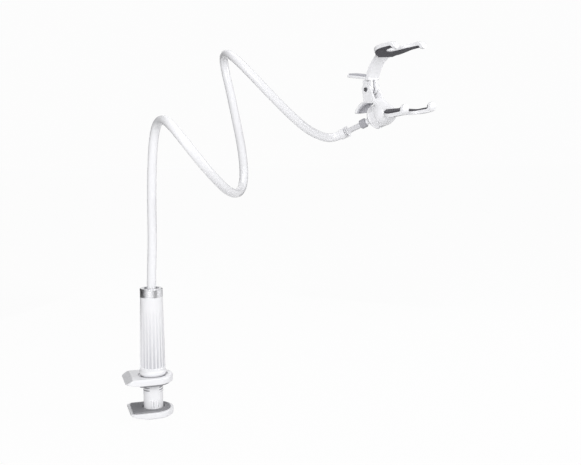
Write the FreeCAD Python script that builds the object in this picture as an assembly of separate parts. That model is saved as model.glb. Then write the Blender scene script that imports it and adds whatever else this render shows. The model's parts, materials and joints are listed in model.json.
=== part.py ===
import FreeCAD, Part
import math
import os

from FreeCAD import Placement, Rotation, Vector

# A clamp-on phone holder: a desk clamp that is tightened by turning its fluted handle,
# a bendable arm held in the clamp's column, and a sprung clip on a ball joint.
# Millimetres, +Z up. The origin is on the column's axis, at the face of the lower pad,
# which bears on the underside of a desk. The desk lies on the -X side.

# Desk clamp: column, jaws and pads
COLUMN_RADIUS = 11.0
COLUMN_TOP = 98.0
COLUMN_CORE_RADIUS = 6.0
COLUMN_CORE_TOP = 52.0
KEYWAY_WIDTH = 10.0
KEYWAY_DEPTH = 1.6
STOP_RIB_HEIGHT = 9.0
STOP_RIB_WIDTH = 2.4
STOP_RIB_SPACING = 5.8
STOP_RIB_PROUD = 0.5
JAW_GAP = 28.0
JAW_HALF_WIDTH = 22.5
LOWER_JAW_REACH = 28.0
LOWER_JAW_CORNER = 6.0
LOWER_JAW_HEIGHT = 8.8
LOWER_JAW_EDGE = 2.5
LOWER_TOE_START = 8.0
LOWER_TOE_WALL = 1.2
LOWER_RIM_DROP = 1.2
RIM_WIDTH = 3.6
PAD_THICKNESS = 2.2
UPPER_JAW_REACH = 33.5
UPPER_JAW_TOP_REACH = 25.0
UPPER_JAW_CORNER = 6.0
UPPER_JAW_HEIGHT = 7.4
UPPER_JAW_EDGE = 1.6
UPPER_TOE_START = 17.0
UPPER_TOE_RISE = 2.6
HANDLE_SEAT_DEPTH = 1.8
HANDLE_SEAT_CLEARANCE = 1.2
WASHER_HEIGHT = 1.2
WASHER_RADIUS = 14.0

# Turning handle and its metal ring
HANDLE_LENGTH = 89.6
HANDLE_BOTTOM_RADIUS = 14.2
HANDLE_TOP_RADIUS = 12.7
HANDLE_FOOT_RADIUS = 13.4
BEAD_RADIUS = 15.3
BEAD_HEIGHT = 6.6
THREAD_LENGTH = 30.0
RELIEF_STEP = 0.3
FLUTE_COUNT = 20
FLUTE_RADIUS = 2.0
FLUTE_FOOT_DEPTH = 1.2
FLUTE_HEAD_DEPTH = 0.3
FLUTE_ABOVE_BEAD = 3.4
FLUTE_BELOW_RING = 18.0
RING_HEIGHT = 9.6
RING_TOP_THICKNESS = 2.0
RING_SEAT_RADIUS = 11.5
RING_HOLE_RADIUS = 8.4
RING_GROOVE_DEPTH = 0.35
RING_GROOVE_WIDTH = 0.8
RING_GROOVE_COUNT = 3
RING_EDGE = 0.6

# Bendable arm
ARM_RADIUS = 5.0
ARM_HEADING = -18.0
ARM_SEAT_DEPTH = 26.0
ARM_BEND_SHARE = 0.45
ARM_END_RUN = 15.0
SLEEVE_WALL = 2.0
SLEEVE_FLANGE_RADIUS = 8.6
SLEEVE_FLANGE_HEIGHT = 2.0
SET_SCREW_RADIUS = 2.0
SET_SCREW_BELOW_TOP = 12.0

# Ball joint
BALL_REACH = 254.9
BALL_SIDE = 58.6
BALL_HEIGHT = 326.7
BALL_RADIUS = 8.0
BALL_CLEARANCE = 0.1
STUD_DROP = 16.0
STUD_SWING = 22.0
STUD_RADIUS = 3.2
BALL_NECK_RADIUS = 3.6
HUB_RADIUS = 5.4
HUB_START = 12.0
HUB_LENGTH = 7.5
HUB_SOCKET_DEPTH = 6.0
HUB_EDGE = 0.7
ARM_END_DISTANCE = 38.0
CAP_LENGTH = 11.0
CAP_RADIUS = 6.1
CAP_RIM_RADIUS = 6.6
CAP_RIM_WIDTH = 2.2
SOCKET_TILT = 13.0
SOCKET_BACK = -3.6
SOCKET_UP = 1.1
NUT_RADIUS = 13.8
NUT_REAR = 4.0
NUT_REAR_RADIUS = 10.4
NUT_FRONT = 9.0
NUT_FLAT_COUNT = 8
NUT_FLAT_DEPTH = 1.0
NUT_FLAT_MARGIN = 1.2
SPIGOT_RADIUS = 11.0
SPIGOT_END = 1.6

# Clip: two claws on a pivot pin
CLIP_YAW = 47.0
CLIP_ROLL = -4.8
CLIP_TILT = -8.0
PIVOT_BACK = -3.5
PIVOT_UP = 34.5
HELD_WIDTH = 67.5
HELD_MIDDLE_UP = 36.5
HELD_FRONT = 60.0
HELD_CLEARANCE = 0.5
CLAW_WALL = 4.2
CLAW_ARC_RADIUS = 43.5
CLAW_ARC_CENTRE_BACK = -50.0
LOWER_ARC_START = 30.0
UPPER_ARC_OVERLAP = 2.75
LIP_GAP = 2.6
LIP_WALL = 4.0
LOWER_LIP_HEIGHT = 7.0
UPPER_LIP_HEIGHT = 4.6
FINGER_SPACING = 53.5
FINGER_WIDTH = 11.5
WRIST_HALF_WIDTH = 10.5
WRIST_FRONT = 20.0
SPREAD_LENGTH = 27.0
PALM_FRONT = 39.0
TRIM_MARGIN = 1.0
CLAW_PAD_THICKNESS = 1.6
CLAW_PAD_MARGIN = 1.4
CLAW_PAD_START = 62.0
BOSS_BULGE_RADIUS = 14.3
BOSS_BULGE_AT = 14.0
BOSS_SHOULDER_RADIUS = 10.8
BOSS_SHOULDER_AT = 24.0
BOSS_NOSE_AT = 34.0
BOSS_NOSE_BLUNT = 2.0
EAR_RADIUS = 6.2
EAR_THICKNESS = 3.2
EAR_GAP = 0.4
EAR_ROOT = 38.0
LEVER_HALF_WIDTH = 9.5
LEVER_WALL = 3.0
LOWER_LEVER_RADIUS = 25.3
LOWER_LEVER_CENTRE_BACK = -3.0
LOWER_LEVER_CENTRE_UP = -2.5
LOWER_LEVER_START = 108.0
LOWER_LEVER_END = 31.0
UPPER_LEVER_TIP_BACK = 21.0
UPPER_LEVER_TIP_UP = 55.9
UPPER_LEVER_ROOT_BACK = -10.0
UPPER_LEVER_ROOT_UP = 47.2
GRIP_THICKNESS = 1.8
GRIP_MARGIN = 1.5
PIN_RADIUS = 1.7
PIN_HEAD_RADIUS = 2.5
PIN_HEAD_HEIGHT = 0.9
PIN_TAIL = 2.2
RETAINER_RADIUS = 3.4
RETAINER_THICKNESS = 0.8
SPRING_WIRE_RADIUS = 0.6
SPRING_WIRE_SIDES = 8
SPRING_TURNS = 3
SPRING_LEG = 18.0
SPRING_UPPER_LEG_LEAN = 27.0
SPRING_LOWER_LEG_LEAN = 20.0

# Fits
RUNNING_FIT = 0.06
SLIDING_FIT = 0.3
THREAD_FIT = 0.3
SAME_HEIGHT = 1e-4

WHOLE_TURN = 360.0
HALF = 0.5

lower_jaw_bottom = -LOWER_JAW_HEIGHT
upper_jaw_bottom = JAW_GAP + PAD_THICKNESS
upper_jaw_top = upper_jaw_bottom + UPPER_JAW_HEIGHT
seat_floor = upper_jaw_top - HANDLE_SEAT_DEPTH
washer_top = seat_floor + WASHER_HEIGHT
bead_top = washer_top + BEAD_HEIGHT
handle_top = washer_top + HANDLE_LENGTH
ring_top = handle_top + RING_HEIGHT
rib_corner = math.hypot((STOP_RIB_SPACING + STOP_RIB_WIDTH) / 2, COLUMN_RADIUS + STOP_RIB_PROUD)
pad_hole = rib_corner + SLIDING_FIT
sleeve_radius = ARM_RADIUS + SLEEVE_WALL
sleeve_bottom = COLUMN_TOP - ARM_SEAT_DEPTH
set_screw_height = COLUMN_TOP - SET_SCREW_BELOW_TOP
set_screw_tip = ARM_RADIUS + SLEEVE_WALL * HALF

UP = Vector(0, 0, 1)
SIDEWAYS = Vector(1, 0, 0)
BACKWARD = Vector(0, 1, 0)
ORIGIN = Vector(0, 0, 0)


def face(plane, start, *steps):
    """A closed face: each step is a point to draw a line to, or (through, end) for an arc."""
    edges = []
    here = start
    for step in steps + (start,):
        if isinstance(step[0], tuple):
            through, end = step
            edges.append(Part.Arc(plane(*here), plane(*through), plane(*end)).toShape())
        else:
            end = step
            if math.dist(here, end) > 0:
                edges.append(Part.LineSegment(plane(*here), plane(*end)).toShape())
        here = end
    return Part.Face(Part.Wire(edges))


def plan(across, along):
    return Vector(across, along, 0)


def radial(radius, height):
    return Vector(radius, 0, height)


def profile_side(along, height):
    return Vector(along, 0, height)


def clip_side(back, up):
    return Vector(0, back, up)


def turned(start, *steps):
    """A solid of revolution about Z from a profile of (radius, height) points."""
    return face(radial, start, *steps).revolve(ORIGIN, UP, WHOLE_TURN)


def cylinder(radius, bottom, top):
    return Part.makeCylinder(radius, top - bottom, Vector(0, 0, bottom), UP)


def tube(outer, inner, bottom, top):
    return cylinder(outer, bottom, top).cut(cylinder(inner, bottom, top))


def block(low, high):
    size = high - low
    return Part.makeBox(size.x, size.y, size.z, low)


def polar(radius, degrees):
    angle = math.radians(degrees)
    return radius * math.cos(angle), radius * math.sin(angle)


def jaw_outline(reach, corner, inset):
    """The D shape of a jaw: a flat end towards the desk, straight sides and a round end about the column."""
    side = JAW_HALF_WIDTH - inset
    end = -(reach - inset)
    round_off = max(corner - inset, corner * HALF)
    bite = round_off * (1 - math.sqrt(HALF))
    return face(
        plan,
        (end + round_off, -side),
        (0, -side),
        ((side, 0), (0, side)),
        (end + round_off, side),
        ((end + bite, side - bite), (end, side - round_off)),
        (end, round_off - side),
        ((end + bite, bite - side), (end + round_off, -side)),
    )


def raised(flat, bottom, top):
    shape = flat.copy()
    shape.translate(Vector(0, 0, bottom))
    return shape.extrude(Vector(0, 0, top - bottom))


def keyways(width, inner, outer, bottom, top):
    """Two straight bars on the +Y and -Y sides of the column, from inner to outer radius."""
    bar = block(Vector(-width / 2, inner, bottom), Vector(width / 2, outer, top))
    return bar.fuse(bar.mirror(ORIGIN, BACKWARD))


def pair(shape):
    """A shape with its mirror image across the plane through Y and Z."""
    return shape.fuse(shape.mirror(ORIGIN, SIDEWAYS))


def edges_at_height(shape, height):
    """The edges that lie flat at one height."""

    def is_flat(box):
        return max(abs(box.ZMin - height), abs(box.ZMax - height)) < SAME_HEIGHT

    return [edge for edge in shape.Edges if is_flat(edge.BoundBox)]


def make_lower_jaw():
    foot = raised(jaw_outline(LOWER_JAW_REACH, LOWER_JAW_CORNER, 0), lower_jaw_bottom, -LOWER_RIM_DROP)
    foot = foot.makeFillet(LOWER_JAW_EDGE, edges_at_height(foot, lower_jaw_bottom))
    below_toe = face(
        profile_side,
        (-LOWER_TOE_START, lower_jaw_bottom),
        (-LOWER_JAW_REACH, -PAD_THICKNESS - LOWER_TOE_WALL),
        (-LOWER_JAW_REACH, lower_jaw_bottom),
    )
    below_toe.translate(Vector(0, -JAW_HALF_WIDTH, 0))
    foot = foot.cut(below_toe.extrude(Vector(0, 2 * JAW_HALF_WIDTH, 0)))
    foot = foot.cut(raised(jaw_outline(LOWER_JAW_REACH, LOWER_JAW_CORNER, RIM_WIDTH), -PAD_THICKNESS, 0))
    column = cylinder(COLUMN_RADIUS, lower_jaw_bottom, COLUMN_TOP)
    key_floor = COLUMN_RADIUS - KEYWAY_DEPTH
    column = column.cut(keyways(KEYWAY_WIDTH, key_floor, 2 * COLUMN_RADIUS, -PAD_THICKNESS, COLUMN_TOP))
    rib = block(
        Vector((STOP_RIB_SPACING - STOP_RIB_WIDTH) / 2, key_floor - KEYWAY_DEPTH, -PAD_THICKNESS),
        Vector((STOP_RIB_SPACING + STOP_RIB_WIDTH) / 2, COLUMN_RADIUS + STOP_RIB_PROUD, STOP_RIB_HEIGHT),
    )
    ribs = pair(rib)
    column = column.fuse([ribs, ribs.mirror(ORIGIN, BACKWARD)])
    jaw = foot.fuse(column)
    jaw = jaw.cut(cylinder(COLUMN_CORE_RADIUS, lower_jaw_bottom, COLUMN_CORE_TOP))
    jaw = jaw.cut(cylinder(sleeve_radius + RUNNING_FIT, sleeve_bottom, COLUMN_TOP))
    screw_way = Part.makeCylinder(
        SET_SCREW_RADIUS + RUNNING_FIT, COLUMN_RADIUS, Vector(0, 0, set_screw_height), SIDEWAYS
    )
    return jaw.cut(screw_way).removeSplitter()


def make_lower_pad():
    outline = jaw_outline(LOWER_JAW_REACH, LOWER_JAW_CORNER, RIM_WIDTH + RUNNING_FIT)
    pad = raised(outline, -PAD_THICKNESS, 0)
    return pad.cut(cylinder(pad_hole, -PAD_THICKNESS, 0))


def make_upper_jaw():
    toe = upper_jaw_bottom + UPPER_TOE_RISE
    side = face(
        profile_side,
        (JAW_HALF_WIDTH, upper_jaw_bottom),
        (JAW_HALF_WIDTH, upper_jaw_top),
        (-UPPER_JAW_TOP_REACH, upper_jaw_top),
        (-UPPER_JAW_REACH, toe),
        (-UPPER_TOE_START, upper_jaw_bottom),
    )
    side.translate(Vector(0, -JAW_HALF_WIDTH, 0))
    slab = side.extrude(Vector(0, 2 * JAW_HALF_WIDTH, 0))
    jaw = raised(jaw_outline(UPPER_JAW_REACH, UPPER_JAW_CORNER, 0), upper_jaw_bottom, upper_jaw_top)
    jaw = jaw.makeFillet(UPPER_JAW_EDGE, edges_at_height(jaw, upper_jaw_top))
    jaw = jaw.common(slab)
    bore = COLUMN_RADIUS + SLIDING_FIT
    jaw = jaw.cut(cylinder(bore, upper_jaw_bottom, upper_jaw_top))
    jaw = jaw.cut(cylinder(BEAD_RADIUS + HANDLE_SEAT_CLEARANCE, seat_floor, upper_jaw_top))
    key_floor = COLUMN_RADIUS - KEYWAY_DEPTH + SLIDING_FIT
    key_width = KEYWAY_WIDTH - 2 * SLIDING_FIT
    keys = keyways(key_width, key_floor, bore + SLIDING_FIT, upper_jaw_bottom, seat_floor)
    return jaw.fuse(keys).removeSplitter()


def make_upper_pad():
    outline = jaw_outline(UPPER_TOE_START + RIM_WIDTH, LOWER_JAW_CORNER, RIM_WIDTH)
    pad = raised(outline, JAW_GAP, upper_jaw_bottom)
    return pad.cut(cylinder(pad_hole, JAW_GAP, upper_jaw_bottom))


def make_thrust_washer():
    return tube(WASHER_RADIUS, COLUMN_RADIUS + SLIDING_FIT, seat_floor, washer_top)


def flute(degrees):
    """A round-ended groove down the handle, deep at its foot and shallow at its head."""
    taper = (HANDLE_TOP_RADIUS - HANDLE_BOTTOM_RADIUS) / (handle_top - bead_top)

    def centre(height, depth):
        wall = HANDLE_BOTTOM_RADIUS + taper * (height - bead_top)
        across, along = polar(wall - depth + FLUTE_RADIUS, degrees)
        return Vector(across, along, height)

    foot = centre(bead_top + FLUTE_ABOVE_BEAD, FLUTE_FOOT_DEPTH)
    head = centre(handle_top - FLUTE_BELOW_RING, FLUTE_HEAD_DEPTH)
    run = head - foot
    groove = Part.makeCylinder(FLUTE_RADIUS, run.Length, foot, run)
    return groove.fuse([Part.makeSphere(FLUTE_RADIUS, foot), Part.makeSphere(FLUTE_RADIUS, head)])


def make_handle():
    bead_middle = washer_top + BEAD_HEIGHT * HALF
    spigot_top = ring_top - RING_TOP_THICKNESS
    thread_bore = COLUMN_RADIUS + THREAD_FIT
    relief = thread_bore + RELIEF_STEP
    body = turned(
        (thread_bore, washer_top),
        (HANDLE_FOOT_RADIUS, washer_top),
        ((BEAD_RADIUS, bead_middle), (HANDLE_BOTTOM_RADIUS, bead_top)),
        (HANDLE_TOP_RADIUS, handle_top),
        (RING_SEAT_RADIUS, handle_top),
        (RING_SEAT_RADIUS, spigot_top),
        (RING_HOLE_RADIUS, spigot_top),
        (RING_HOLE_RADIUS, handle_top),
        (relief, handle_top - (relief - RING_HOLE_RADIUS)),
        (relief, washer_top + THREAD_LENGTH + RELIEF_STEP),
        (thread_bore, washer_top + THREAD_LENGTH),
    )
    return body.cut([flute(index * WHOLE_TURN / FLUTE_COUNT) for index in range(FLUTE_COUNT)])


def make_handle_ring():
    spigot_top = ring_top - RING_TOP_THICKNESS
    ring = turned(
        (RING_SEAT_RADIUS, handle_top),
        (HANDLE_TOP_RADIUS, handle_top),
        (HANDLE_TOP_RADIUS, ring_top - RING_EDGE),
        (HANDLE_TOP_RADIUS - RING_EDGE, ring_top),
        (RING_HOLE_RADIUS, ring_top),
        (RING_HOLE_RADIUS, spigot_top),
        (RING_SEAT_RADIUS, spigot_top),
    )
    spacing = (RING_HEIGHT - RING_EDGE) / (RING_GROOVE_COUNT + 1)
    for index in range(RING_GROOVE_COUNT):
        middle = handle_top + spacing * (index + 1)
        groove = tube(
            HANDLE_TOP_RADIUS + RING_EDGE,
            HANDLE_TOP_RADIUS - RING_GROOVE_DEPTH,
            middle - RING_GROOVE_WIDTH / 2,
            middle + RING_GROOVE_WIDTH / 2,
        )
        ring = ring.cut(groove)
    return ring


# The arm is bent by hand, so its route is a list of points: reach, side and height,
# in a frame that is turned by ARM_HEADING about the column's axis.
ARM_ROUTE = [
    (0, 0, 140),
    (2.5, 0, 190),
    (2.5, -1, 239),
    (4.5, -4, 279),
    (8, -9, 307),
    (14.5, -22, 321),
    (25.5, -43, 322),
    (36.5, -60, 313),
    (49.5, -67, 298),
    (63.5, -62, 279),
    (77.5, -46, 260),
    (91.5, -20, 243),
    (100.5, 16, 242),
    (102.5, 48, 260),
    (98.5, 70, 290),
    (90.5, 85, 326),
    (82.5, 97, 361),
    (76.5, 102, 386),
    (75.5, 91, 401),
    (82.5, 70, 402),
    (93.5, 52, 393),
    (109.5, 45, 377),
    (131.5, 46, 354),
    (154.5, 53, 331),
    (176.5, 64, 312),
    (197.5, 75, 303),
]

arm_frame = Placement(ORIGIN, Rotation(UP, ARM_HEADING))
clip_turn = Rotation(ARM_HEADING + CLIP_YAW, CLIP_ROLL, CLIP_TILT)
ball_centre = arm_frame.multVec(Vector(BALL_REACH, BALL_SIDE, BALL_HEIGHT))
clip_origin = ball_centre - clip_turn.multVec(Vector(0, SOCKET_BACK, SOCKET_UP))
clip_frame = Placement(clip_origin, clip_turn)
drop = math.radians(STUD_DROP)
swing = math.radians(STUD_SWING)
stud_direction = clip_turn.multVec(
    Vector(
        -math.cos(drop) * math.sin(swing),
        math.cos(drop) * math.cos(swing),
        -math.sin(drop),
    )
)
stud_frame = Placement(ball_centre, Rotation(UP, stud_direction))


def arm_points():
    """The arm's corners, from its seat in the column to its end on the ball stud's axis."""
    seat = Vector(0, 0, sleeve_bottom)
    route = [arm_frame.multVec(Vector(*point)) for point in ARM_ROUTE]
    end = ball_centre + stud_direction * ARM_END_DISTANCE
    return [seat] + route + [end + stud_direction * ARM_END_RUN, end]


def rounded_path(points):
    """Straight runs joined by tangent arcs, each as large as its two runs allow."""
    edges = []
    radii = []
    start = points[0]
    for before, corner, after in zip(points, points[1:], points[2:]):
        back = before - corner
        ahead = after - corner
        bite = ARM_BEND_SHARE * min(back.Length, ahead.Length)
        back.normalize()
        ahead.normalize()
        first = corner + back * bite
        last = corner + ahead * bite
        half_opening = back.getAngle(ahead) / 2
        radius = bite * math.tan(half_opening)
        inward = (back + ahead).normalize()
        middle = corner + inward * (bite / math.cos(half_opening) - radius)
        edges.append(Part.LineSegment(start, first).toShape())
        edges.append(Part.Arc(first, middle, last).toShape())
        radii.append(radius)
        start = last
    edges.append(Part.LineSegment(start, points[-1]).toShape())
    return Part.Wire(edges), radii


def make_arm():
    path, radii = rounded_path(arm_points())
    first = path.Edges[0]
    heading = first.tangentAt(first.FirstParameter)
    ring = Part.Wire(Part.makeCircle(ARM_RADIUS, arm_points()[0], heading))
    arm = path.makePipeShell([ring], True, False)
    print("arm length", round(path.Length, 1), "tightest bend", round(min(radii), 1))
    print("arm volume share", round(arm.Volume / (math.pi * ARM_RADIUS**2 * path.Length), 4))
    return arm


def make_base_sleeve():
    sleeve = tube(sleeve_radius, ARM_RADIUS + RUNNING_FIT, sleeve_bottom, COLUMN_TOP)
    flange_top = COLUMN_TOP + SLEEVE_FLANGE_HEIGHT
    flange = tube(SLEEVE_FLANGE_RADIUS, ARM_RADIUS + RUNNING_FIT, COLUMN_TOP, flange_top)
    dimple = Part.makeCylinder(
        SET_SCREW_RADIUS + RUNNING_FIT, SLEEVE_WALL, Vector(set_screw_tip, 0, set_screw_height), SIDEWAYS
    )
    return sleeve.fuse(flange).cut(dimple).removeSplitter()


def make_set_screw():
    length = COLUMN_RADIUS - SLIDING_FIT - set_screw_tip
    return Part.makeCylinder(
        SET_SCREW_RADIUS, length, Vector(set_screw_tip, 0, set_screw_height), SIDEWAYS
    )


def make_end_cap():
    front = ARM_END_DISTANCE
    wall = SLEEVE_WALL
    rear = front - wall + CAP_LENGTH
    inner = ARM_RADIUS + RUNNING_FIT
    rim_end = front - wall + CAP_RIM_WIDTH
    return turned(
        (STUD_RADIUS + RUNNING_FIT, front - wall),
        (CAP_RIM_RADIUS, front - wall),
        (CAP_RIM_RADIUS, rim_end),
        (CAP_RADIUS, rim_end + CAP_RIM_RADIUS - CAP_RADIUS),
        (CAP_RADIUS, rear),
        (inner, rear),
        (inner, front),
        (STUD_RADIUS + RUNNING_FIT, front),
    )


def make_stud():
    hub_end = HUB_START + HUB_LENGTH
    start = hub_end - HUB_SOCKET_DEPTH + SLIDING_FIT
    return cylinder(STUD_RADIUS, start, ARM_END_DISTANCE)


def make_ball():
    hub_end = HUB_START + HUB_LENGTH
    socket = STUD_RADIUS + RUNNING_FIT
    hub = turned(
        (0, 0),
        (BALL_NECK_RADIUS, 0),
        (BALL_NECK_RADIUS, HUB_START),
        (HUB_RADIUS - HUB_EDGE, HUB_START),
        (HUB_RADIUS, HUB_START + HUB_EDGE),
        (HUB_RADIUS, hub_end - HUB_EDGE),
        (HUB_RADIUS - HUB_EDGE, hub_end),
        (socket, hub_end),
        (socket, hub_end - HUB_SOCKET_DEPTH),
        (0, hub_end - HUB_SOCKET_DEPTH),
    )
    return hub.fuse(Part.makeSphere(BALL_RADIUS)).removeSplitter()


def on_socket_axis(shape):
    """Puts a solid made about +Z on the socket's axis, with its +Z end pointing backward and down."""
    shape.rotate(ORIGIN, SIDEWAYS, -WHOLE_TURN / 4 - SOCKET_TILT)
    shape.translate(Vector(0, SOCKET_BACK, SOCKET_UP))
    return shape


def make_ball_nut():
    seat = BALL_RADIUS + BALL_CLEARANCE
    bore = SPIGOT_RADIUS + THREAD_FIT
    step = SLIDING_FIT - SPIGOT_END
    nut = turned(
        (bore, -NUT_FRONT),
        (NUT_RADIUS, -NUT_FRONT),
        (NUT_RADIUS, NUT_REAR - (NUT_RADIUS - NUT_REAR_RADIUS)),
        (NUT_REAR_RADIUS, NUT_REAR),
        (0, NUT_REAR),
        (0, step),
        (bore, step),
    )
    nut = nut.cut(Part.makeSphere(seat))
    flat_top = NUT_REAR - (NUT_RADIUS - NUT_REAR_RADIUS) - NUT_FLAT_MARGIN
    flat = block(
        Vector(NUT_RADIUS - NUT_FLAT_DEPTH, -NUT_RADIUS, NUT_FLAT_MARGIN - NUT_FRONT),
        Vector(NUT_RADIUS + NUT_FLAT_DEPTH, NUT_RADIUS, flat_top),
    )
    flats = []
    for index in range(NUT_FLAT_COUNT):
        cutter = flat.copy()
        cutter.rotate(ORIGIN, UP, index * WHOLE_TURN / NUT_FLAT_COUNT)
        flats.append(cutter)
    return on_socket_axis(nut.cut(flats))


# The clip is drawn in its own frame: +X along the held edge, +Y backward and +Z up,
# with the ball's centre at SOCKET_BACK and SOCKET_UP. The upper claw mirrors the lower one's form.
claw_floor = HELD_MIDDLE_UP - HELD_WIDTH / 2 - HELD_CLEARANCE - CLAW_PAD_THICKNESS
arc_up = claw_floor + CLAW_ARC_RADIUS
upper_arc_up = 2 * HELD_MIDDLE_UP - arc_up
upper_arc_reach = UPPER_LEVER_ROOT_UP - UPPER_ARC_OVERLAP - upper_arc_up
upper_arc_start = math.degrees(math.asin(upper_arc_reach / (CLAW_ARC_RADIUS + CLAW_WALL * HALF)))
lip_inner = -(HELD_FRONT + LIP_GAP)
lip_outer = lip_inner - LIP_WALL
finger_middle = FINGER_SPACING / 2
finger_outer = finger_middle + FINGER_WIDTH / 2
finger_inner = finger_middle - FINGER_WIDTH / 2
inner_ear = SPRING_WIRE_RADIUS * 2 * (SPRING_TURNS + 1) / 2 + EAR_GAP
outer_ear = inner_ear + EAR_THICKNESS + EAR_GAP
ear_outside = outer_ear + EAR_THICKNESS


def on_arc(radius, below_level):
    """A point on the claw's arc, by its angle below the horizontal."""
    back, up = polar(radius, -below_level)
    return CLAW_ARC_CENTRE_BACK + back, arc_up + up


def claw_band(inner_radius, wall, start, lip_face, lip_end, top):
    """Side profile of a claw: an arc from the wrist, a floor under the held edge and an upturned lip."""
    outer_radius = inner_radius + wall
    low_angle = WHOLE_TURN / 4
    mid_angle = (start + low_angle) / 2
    floor = arc_up - inner_radius
    under = arc_up - outer_radius
    inside_round = wall * HALF
    outside_round = lip_face - lip_end + inside_round
    turn = math.sqrt(HALF)
    inside = (lip_face + inside_round, floor + inside_round)
    outside = (lip_end + outside_round, under + outside_round)
    return face(
        clip_side,
        on_arc(inner_radius, start),
        (on_arc(inner_radius, mid_angle), on_arc(inner_radius, low_angle)),
        (inside[0], floor),
        (
            (inside[0] - inside_round * turn, inside[1] - inside_round * turn),
            (lip_face, inside[1]),
        ),
        (lip_face, top),
        (lip_end, top),
        (lip_end, outside[1]),
        (
            (outside[0] - outside_round * turn, outside[1] - outside_round * turn),
            (outside[0], under),
        ),
        on_arc(outer_radius, low_angle),
        (on_arc(outer_radius, mid_angle), on_arc(outer_radius, start)),
    )


def hand_outline(inset, back):
    """Plan of a claw: a narrow wrist that spreads in an S curve to two fingers with a round gap between."""
    wrist = WRIST_HALF_WIDTH - inset
    outer = finger_outer - inset
    gap_radius = finger_inner + inset
    tip = lip_outer - TRIM_MARGIN
    wrist_end = -WRIST_FRONT
    spread_end = wrist_end - SPREAD_LENGTH
    gap_middle = -(PALM_FRONT - inset) - gap_radius
    spread = outer - wrist
    curve = (spread**2 + SPREAD_LENGTH**2) / (4 * spread)
    lean = math.atan2(spread, SPREAD_LENGTH)
    bow = curve * (1 - math.cos(lean))
    advance = curve * math.sin(lean)
    turn = ((wrist + outer) / 2, (wrist_end + spread_end) / 2)
    near_wrist = (wrist + bow, wrist_end - advance)
    near_finger = (outer - bow, spread_end + advance)

    def across(point):
        return -point[0], point[1]

    return face(
        plan,
        (wrist, back),
        (wrist, wrist_end),
        (near_wrist, turn),
        (near_finger, (outer, spread_end)),
        (outer, tip),
        (gap_radius, tip),
        (gap_radius, gap_middle),
        ((0, gap_middle + gap_radius), (-gap_radius, gap_middle)),
        (-gap_radius, tip),
        (-outer, tip),
        (-outer, spread_end),
        (across(near_finger), across(turn)),
        (across(near_wrist), (-wrist, wrist_end)),
        (-wrist, back),
    )


def finger_tips(inset, top):
    """Front outlines that round off the two lips, with a block that keeps the rest of the claw."""
    radius = FINGER_WIDTH / 2 - inset
    lip_back = lip_inner + CLAW_WALL
    keep = block(
        Vector(-2 * finger_outer, lip_back, -HELD_WIDTH),
        Vector(2 * finger_outer, HELD_WIDTH, 2 * HELD_WIDTH),
    )
    front = face(
        lambda across, up: Vector(finger_middle + across, lip_back, up),
        (-radius, -HELD_WIDTH),
        (radius, -HELD_WIDTH),
        (radius, top - radius),
        ((0, top), (-radius, top - radius)),
    )
    lip = front.extrude(Vector(0, lip_outer - TRIM_MARGIN - lip_back, 0))
    return keep.fuse(pair(lip))


def widened(flat, half_width):
    shape = flat.copy()
    shape.translate(Vector(-half_width, 0, 0))
    return shape.extrude(Vector(2 * half_width, 0, 0))


def hand(band, inset, back, top):
    """A claw's bent plate: its side profile, trimmed to the hand's plan and to its round finger ends."""
    plate = widened(band, finger_outer)
    trim = raised(hand_outline(inset, back), -HELD_WIDTH, HELD_WIDTH)
    return plate.common(trim).common(finger_tips(inset, top))


def ear_plates(inside, corners):
    """Two plates on the pivot pin: a round eye joined to the claw by straight flanks."""
    eye = Part.makeCylinder(EAR_RADIUS, EAR_THICKNESS, Vector(inside, PIVOT_BACK, PIVOT_UP), SIDEWAYS)
    flank = Part.Face(Part.makePolygon([Vector(inside, *corner) for corner in corners + corners[:1]]))
    return pair(eye.fuse(flank.extrude(Vector(EAR_THICKNESS, 0, 0))))


def pin_hole():
    radius = PIN_RADIUS + RUNNING_FIT
    return Part.makeCylinder(
        radius, 4 * ear_outside, Vector(-2 * ear_outside, PIVOT_BACK, PIVOT_UP), SIDEWAYS
    )


def over_to_upper(shape):
    """Mirrors a lower claw's form about the middle of the held width."""
    return shape.mirror(Vector(0, 0, HELD_MIDDLE_UP), UP)


def lever_arc(outer, inner, start, end):
    """Side profile of the lower lever: a strip between two arcs about the lever's centre."""
    middle = (start + end) / 2

    def at(radius, degrees):
        back, up = polar(radius, degrees)
        return LOWER_LEVER_CENTRE_BACK + back, LOWER_LEVER_CENTRE_UP + up

    return face(
        clip_side,
        at(outer, start),
        (at(outer, middle), at(outer, end)),
        at(inner, end),
        (at(inner, middle), at(inner, start)),
    )


def lower_lever():
    inner = LOWER_LEVER_RADIUS - LEVER_WALL
    blade = lever_arc(LOWER_LEVER_RADIUS, inner, LOWER_LEVER_START, LOWER_LEVER_END)
    return widened(blade, LEVER_HALF_WIDTH)


def make_boss():
    """The ball joint's round body under the lower claw, with the cup that seats the ball."""
    seam = -NUT_FRONT - SLIDING_FIT
    boss = turned(
        (0, -BOSS_NOSE_AT),
        (
            (BOSS_SHOULDER_RADIUS * HALF, BOSS_NOSE_BLUNT - BOSS_NOSE_AT),
            (BOSS_SHOULDER_RADIUS, -BOSS_SHOULDER_AT),
        ),
        ((BOSS_BULGE_RADIUS, -BOSS_BULGE_AT), (NUT_RADIUS, seam)),
        (SPIGOT_RADIUS, seam),
        (SPIGOT_RADIUS, -SPIGOT_END),
        (0, -SPIGOT_END),
    )
    boss = boss.cut(Part.makeSphere(BALL_RADIUS + BALL_CLEARANCE))
    return on_socket_axis(boss)


def make_hand(arc_start, lip_height):
    top = claw_floor + lip_height
    band = claw_band(CLAW_ARC_RADIUS, CLAW_WALL, arc_start, lip_inner, lip_outer, top)
    return hand(band, 0, PIVOT_BACK, top)


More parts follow.
